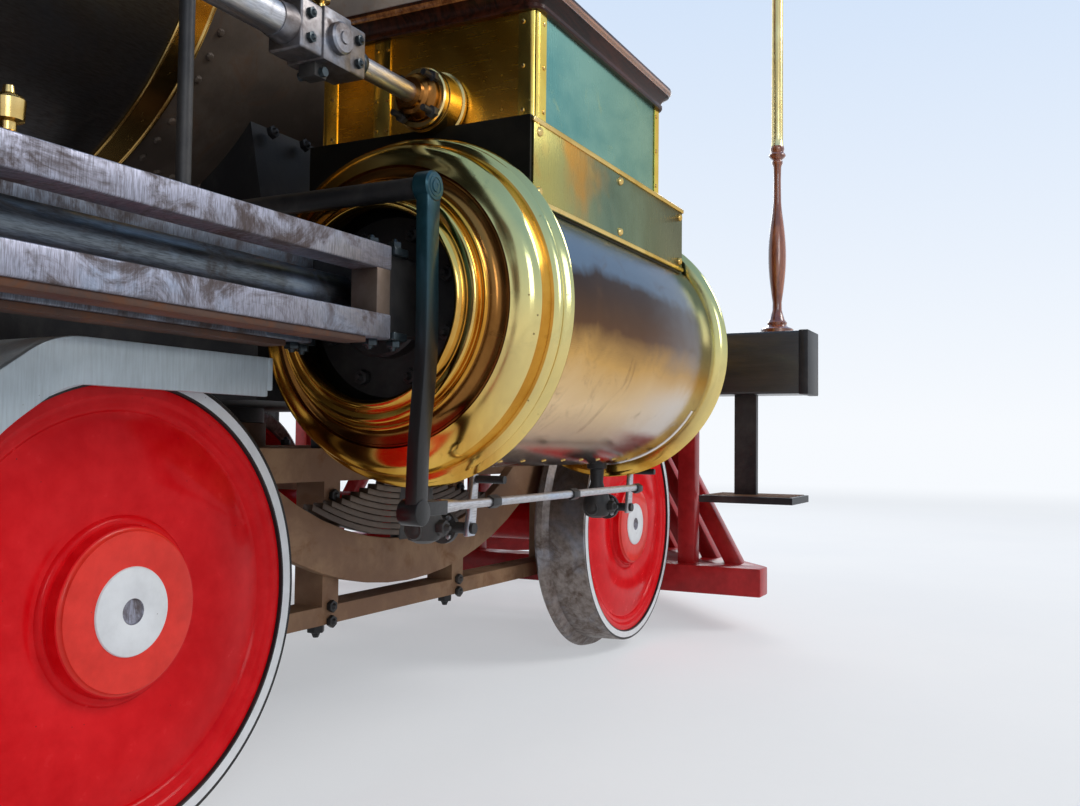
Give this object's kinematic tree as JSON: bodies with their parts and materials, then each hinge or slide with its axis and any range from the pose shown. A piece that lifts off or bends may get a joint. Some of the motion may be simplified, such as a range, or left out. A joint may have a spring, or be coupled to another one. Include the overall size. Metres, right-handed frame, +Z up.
{
  "type": "steam locomotive",
  "caption": "Antique steam locomotive with a leading truck, coupled spoked drivers, outside cylinders in polished casings, a wooden cab and a slatted pilot.",
  "frame": {"origin": "on the ground under the middle of the overall length, at the level of the wheel flanges' lowest points", "axes": "+X forward towards the pilot, +Y to the engine's left, +Z up"},
  "size_m": [9.2, 2.88, 4.148],
  "materials": {
    "black_iron": "dark painted ironwork, oily",
    "grey_iron": "bare grey smokebox iron",
    "boiler_lagging": "planished blue-grey sheet",
    "bright_steel": "worn bright steel",
    "polished_brass": "polished, slightly tarnished",
    "red_paint": "glossy scarlet",
    "guard_paint": "streaked pale blue-grey",
    "dark_wood": "varnished dark brown",
    "cab_wood": "varnished walnut",
    "turned_wood": "varnished",
    "deck_wood": "worn planks",
    "green_paint": "semi-gloss dark green",
    "window_glass": "clear",
    "lamp_paint": "gloss with brass trim"
  },
  "bodies": {
    "engine": {"main_frame": "black_iron", "driving_springs": "black_iron", "boiler": "boiler_lagging", "boiler_bands": "polished_brass", "ash_pan": "black_iron", "smokebox": "grey_iron", "stack": "black_iron", "sand_dome": "green_paint", "steam_dome": "polished_brass", "safety_valves": "polished_brass", "bell_stand": "black_iron", "headlight": "lamp_paint", "running_boards": "black_iron", "handrails": "polished_brass", "cab_walls": "cab_wood", "cab_roof": "black_iron", "cab_floor": "deck_wood", "cab_glass": "window_glass", "backhead_fittings": "black_iron", "drag_beam": "dark_wood", "cab_steps": "black_iron", "bumper_beam": "dark_wood", "front_deck": "deck_wood", "pilot": "red_paint", "flagstaffs": "turned_wood", "front_ironwork": "black_iron", "cylinder_saddle": "black_iron", "cylinders": "black_iron", "cylinder_jackets": "bright_steel", "head_casings": "polished_brass", "valve_chests": "black_iron", "chest_casings": "polished_brass", "chest_lids": "dark_wood", "valve_gear": "bright_steel", "cock_gear": "black_iron", "guide_bars": "bright_steel", "guide_yoke": "black_iron"},
    "truck": {"truck_frame": "black_iron", "truck_springs": "black_iron", "wheel_guards": "guard_paint"},
    "front_truck_axle": {"front_truck_tyres": "bright_steel", "front_truck_wheels": "red_paint"},
    "rear_truck_axle": {"rear_truck_tyres": "bright_steel", "rear_truck_wheels": "red_paint"},
    "main_drivers": {"main_driver_tyres": "bright_steel", "main_driver_wheels": "red_paint"},
    "rear_drivers": {"rear_driver_tyres": "bright_steel", "rear_driver_wheels": "red_paint"},
    "side_rod_right": {"side_rod_right": "bright_steel"},
    "side_rod_left": {"side_rod_left": "bright_steel"},
    "crosshead_right": {"crosshead_right": "bright_steel"},
    "crosshead_left": {"crosshead_left": "bright_steel"},
    "main_rod_right": {"main_rod_right": "bright_steel"},
    "main_rod_left": {"main_rod_left": "bright_steel"},
    "bell": {"bell": "polished_brass"},
    "smokebox_door": {"smokebox_door": "grey_iron"},
    "firebox_door": {"firebox_door": "black_iron"},
    "cab_door_right": {"cab_door_right": "cab_wood"},
    "cab_door_left": {"cab_door_left": "cab_wood"}
  },
  "joints": [
    {"name": "truck_swivel", "type": "hinge", "parent": "engine", "child": "truck", "pos_m": [1.95, 0, 0.6], "axis": [0, 0, 1], "range_deg": [-4, 4]},
    {"name": "front_truck_axle_spin", "type": "hinge", "parent": "truck", "child": "front_truck_axle", "pos_m": [2.849, 0, 0.358], "axis": [0, 1, 0], "continuous": true},
    {"name": "rear_truck_axle_spin", "type": "hinge", "parent": "truck", "child": "rear_truck_axle", "pos_m": [1.051, 0, 0.358], "axis": [0, 1, 0], "continuous": true},
    {"name": "main_driver_spin", "type": "hinge", "parent": "engine", "child": "main_drivers", "pos_m": [-1.005, 0, 0.752], "axis": [0, 1, 0], "continuous": true},
    {"name": "rear_driver_spin", "type": "hinge", "parent": "engine", "child": "rear_drivers", "pos_m": [-3.445, 0, 0.752], "axis": [0, 1, 0], "continuous": true},
    {"name": "side_rod_right_turn", "type": "hinge", "parent": "main_drivers", "child": "side_rod_right", "pos_m": [-1.29961, -0.877, 0.83094], "axis": [0, 1, 0], "continuous": true},
    {"name": "side_rod_left_turn", "type": "hinge", "parent": "main_drivers", "child": "side_rod_left", "pos_m": [-1.08394, 0.877, 0.45739], "axis": [0, 1, 0], "continuous": true},
    {"name": "crosshead_right_slide", "type": "slide", "parent": "engine", "child": "crosshead_right", "axis": [1, 0, 0], "range_m": [-0.0111, 0.5989]},
    {"name": "crosshead_left_slide", "type": "slide", "parent": "engine", "child": "crosshead_left", "axis": [1, 0, 0], "range_m": [-0.1929, 0.4171]},
    {"name": "main_rod_right_turn", "type": "hinge", "parent": "crosshead_right", "child": "main_rod_right", "pos_m": [0.53026, -0.943, 0.809], "axis": [0, 1, 0], "range_deg": [-12.2, 7.2]},
    {"name": "main_rod_left_turn", "type": "hinge", "parent": "crosshead_left", "child": "main_rod_left", "pos_m": [0.71196, 0.943, 0.809], "axis": [0, 1, 0], "range_deg": [-0.43, 18.97]},
    {"name": "bell_swing", "type": "hinge", "parent": "engine", "child": "bell", "pos_m": [0.95, 0, 2.828], "axis": [0, 1, 0], "range_deg": [-60, 60]},
    {"name": "smokebox_door_hinge", "type": "hinge", "parent": "engine", "child": "smokebox_door", "pos_m": [2.4603, 0.5, 1.658], "axis": [0, 0, 1], "range_deg": [0, 85]},
    {"name": "firebox_door_hinge", "type": "hinge", "parent": "engine", "child": "firebox_door", "pos_m": [-3.08, 0.245, 1.458], "axis": [0, 0, -1], "range_deg": [0, 95]},
    {"name": "cab_door_right_hinge", "type": "hinge", "parent": "engine", "child": "cab_door_right", "pos_m": [-2.6893, -1.276, 2.028], "axis": [0, 0, -1], "range_deg": [0, 95]},
    {"name": "cab_door_left_hinge", "type": "hinge", "parent": "engine", "child": "cab_door_left", "pos_m": [-2.6893, 1.276, 2.028], "axis": [0, 0, 1], "range_deg": [0, 95]}
  ],
  "couplings": [
    {"joint": "rear_driver_spin", "follows": "main_driver_spin", "ratio": 1},
    {"joint": "side_rod_right_turn", "follows": "main_driver_spin", "ratio": -1},
    {"joint": "side_rod_left_turn", "follows": "main_driver_spin", "ratio": -1}
  ]
}
